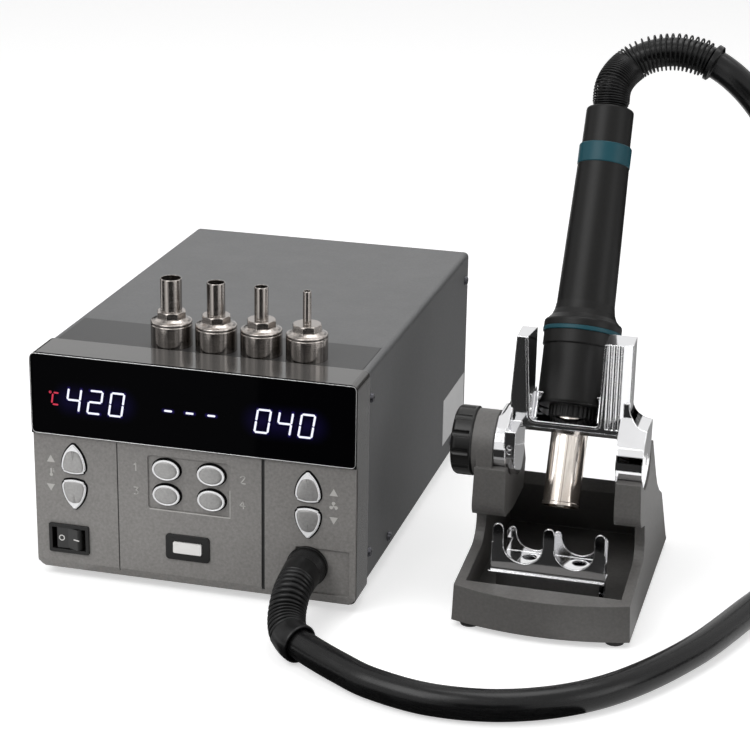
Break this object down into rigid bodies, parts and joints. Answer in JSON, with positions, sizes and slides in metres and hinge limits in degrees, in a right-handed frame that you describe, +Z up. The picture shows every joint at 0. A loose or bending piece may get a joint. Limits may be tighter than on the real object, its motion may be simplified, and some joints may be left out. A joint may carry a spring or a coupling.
{
  "type": "hot air rework station",
  "caption": "Bench hot air rework station: metal control case with display and keys, blower, ribbed hose port, hot air handle in a tilting chrome cradle on a weighted stand, push-on nozzles.",
  "frame": {"origin": "on the bench, under the middle of the box round the case and the stand", "axes": "+Z up, +Y to the back of the case, +X from the case towards the stand"},
  "size_m": [0.4468, 0.3844, 0.2985],
  "materials": {
    "bezel_grey": "glossy moulded",
    "panel_grey": "fine satin film",
    "window_black": "polished tinted glass",
    "module_black": "matt with lit digits",
    "board_green": "coated circuit board",
    "key_silver": "satin silver",
    "key_cream": "satin",
    "plastic_black": "fine matt",
    "case_paint": "fine textured powder coat",
    "film_dark": "satin film",
    "label_pale": "bare sticker",
    "plated_steel": "zinc plated",
    "rubber_black": "matt",
    "brass_stud": "plain",
    "fin_aluminium": "extruded",
    "stainless": "polished stainless",
    "stand_paint": "fine textured powder coat",
    "weight_iron": "raw",
    "rack_chrome": "bright",
    "cradle_chrome": "bright plated casting",
    "tube_steel": "warm tinted steel",
    "ceramic": "ceramic",
    "band_teal": "satin",
    "hose_black": "satin"
  },
  "bodies": {
    "station": {"front_bezel": "bezel_grey", "front_panel": "panel_grey", "display_window": "window_black", "digit_modules": "module_black", "control_board": "board_green", "mode_key_bezel": "plastic_black", "rocker_frame": "plastic_black", "hose_port": "plastic_black", "top_cover": "case_paint", "top_film": "film_dark", "side_label": "label_pale", "cover_screws": "plated_steel", "chassis_tray": "plated_steel", "station_feet": "rubber_black", "rear_panel": "case_paint", "mains_inlet": "plastic_black", "fuse_holder": "plastic_black", "earth_terminal": "brass_stud", "power_board": "board_green", "heat_sink": "fin_aluminium", "blower_housing": "plastic_black", "blower_motor": "plated_steel", "air_duct": "plastic_black", "stand_base": "stand_paint", "stand_feet": "rubber_black", "base_weight": "weight_iron", "nozzle_rack": "rack_chrome", "pivot_pin": "plated_steel", "hose_sleeve": "rubber_black", "hose_lower": "hose_black"},
    "cradle": {"cradle": "cradle_chrome", "clamp_bolt": "plated_steel"},
    "handle": {"heat_tube": "tube_steel", "heater_core": "ceramic", "heater_sleeve": "tube_steel", "sensor_lead": "plated_steel", "handle_barrel": "plastic_black", "flange_ring": "band_teal", "handle_grip": "plastic_black", "grip_band": "band_teal", "tail_collar": "plastic_black", "hose_spring": "plated_steel", "hose_upper": "hose_black"},
    "tilt_knob": {"tilt_knob": "plastic_black"},
    "impeller": {"blower_impeller": "plastic_black"},
    "power_rocker": {"power_rocker": "plastic_black"},
    "mode_key": {"mode_key": "key_cream"},
    "temp_up_key": {"temp_up_key": "key_silver"},
    "temp_down_key": {"temp_down_key": "key_silver"},
    "air_up_key": {"air_up_key": "key_silver"},
    "air_down_key": {"air_down_key": "key_silver"},
    "channel_key_1": {"channel_key_1": "key_silver"},
    "channel_key_2": {"channel_key_2": "key_silver"},
    "channel_key_3": {"channel_key_3": "key_silver"},
    "channel_key_4": {"channel_key_4": "key_silver"},
    "nozzle_large": {"nozzle_large": "stainless"},
    "nozzle_medium": {"nozzle_medium": "stainless"},
    "nozzle_small": {"nozzle_small": "stainless"},
    "nozzle_fine": {"nozzle_fine": "stainless"}
  },
  "joints": [
    {"name": "cradle_tilt", "type": "hinge", "parent": "station", "child": "cradle", "pos_m": [0.12075, -0.0814, 0.089], "axis": [1, 0, 0], "range_deg": [-5, 20], "deforming": ["hose_lower"]},
    {"name": "handle_lift", "type": "slide", "parent": "cradle", "child": "handle", "axis": [0, 0.4695, 0.8829], "range_m": [0, 0.06], "deforming": ["hose_upper"]},
    {"name": "knob_turn", "type": "hinge", "parent": "station", "child": "tilt_knob", "pos_m": [0.12075, -0.0814, 0.089], "axis": [1, 0, 0], "range_deg": [-180, 180]},
    {"name": "impeller_spin", "type": "hinge", "parent": "station", "child": "impeller", "pos_m": [-0.00905, -0.0414, 0.062], "axis": [1, 0, 0], "continuous": true},
    {"name": "power_rock", "type": "hinge", "parent": "station", "child": "power_rocker", "pos_m": [-0.14975, -0.1324, 0.0249], "axis": [0, 0, 1], "range_deg": [0, 14]},
    {"name": "mode_press", "type": "slide", "parent": "station", "child": "mode_key", "axis": [0, 1, 0], "range_m": [0, 0.0012], "stiffness_N_per_m": 400, "springref_m": -0.0006},
    {"name": "temp_up_press", "type": "slide", "parent": "station", "child": "temp_up_key", "axis": [0, 1, 0], "range_m": [0, 0.0012], "stiffness_N_per_m": 400, "springref_m": -0.0006},
    {"name": "temp_down_press", "type": "slide", "parent": "station", "child": "temp_down_key", "axis": [0, 1, 0], "range_m": [0, 0.0012], "stiffness_N_per_m": 400, "springref_m": -0.0006},
    {"name": "air_up_press", "type": "slide", "parent": "station", "child": "air_up_key", "axis": [0, 1, 0], "range_m": [0, 0.0012], "stiffness_N_per_m": 400, "springref_m": -0.0006},
    {"name": "air_down_press", "type": "slide", "parent": "station", "child": "air_down_key", "axis": [0, 1, 0], "range_m": [0, 0.0012], "stiffness_N_per_m": 400, "springref_m": -0.0006},
    {"name": "channel_1_press", "type": "slide", "parent": "station", "child": "channel_key_1", "axis": [0, 1, 0], "range_m": [0, 0.0012], "stiffness_N_per_m": 400, "springref_m": -0.0006},
    {"name": "channel_2_press", "type": "slide", "parent": "station", "child": "channel_key_2", "axis": [0, 1, 0], "range_m": [0, 0.0012], "stiffness_N_per_m": 400, "springref_m": -0.0006},
    {"name": "channel_3_press", "type": "slide", "parent": "station", "child": "channel_key_3", "axis": [0, 1, 0], "range_m": [0, 0.0012], "stiffness_N_per_m": 400, "springref_m": -0.0006},
    {"name": "channel_4_press", "type": "slide", "parent": "station", "child": "channel_key_4", "axis": [0, 1, 0], "range_m": [0, 0.0012], "stiffness_N_per_m": 400, "springref_m": -0.0006},
    {"name": "nozzle_large_lift", "type": "slide", "parent": "station", "child": "nozzle_large", "axis": [0, 0, 1], "range_m": [0, 0.05]},
    {"name": "nozzle_medium_lift", "type": "slide", "parent": "station", "child": "nozzle_medium", "axis": [0, 0, 1], "range_m": [0, 0.05]},
    {"name": "nozzle_small_lift", "type": "slide", "parent": "station", "child": "nozzle_small", "axis": [0, 0, 1], "range_m": [0, 0.05]},
    {"name": "nozzle_fine_lift", "type": "slide", "parent": "station", "child": "nozzle_fine", "axis": [0, 0, 1], "range_m": [0, 0.05]}
  ]
}
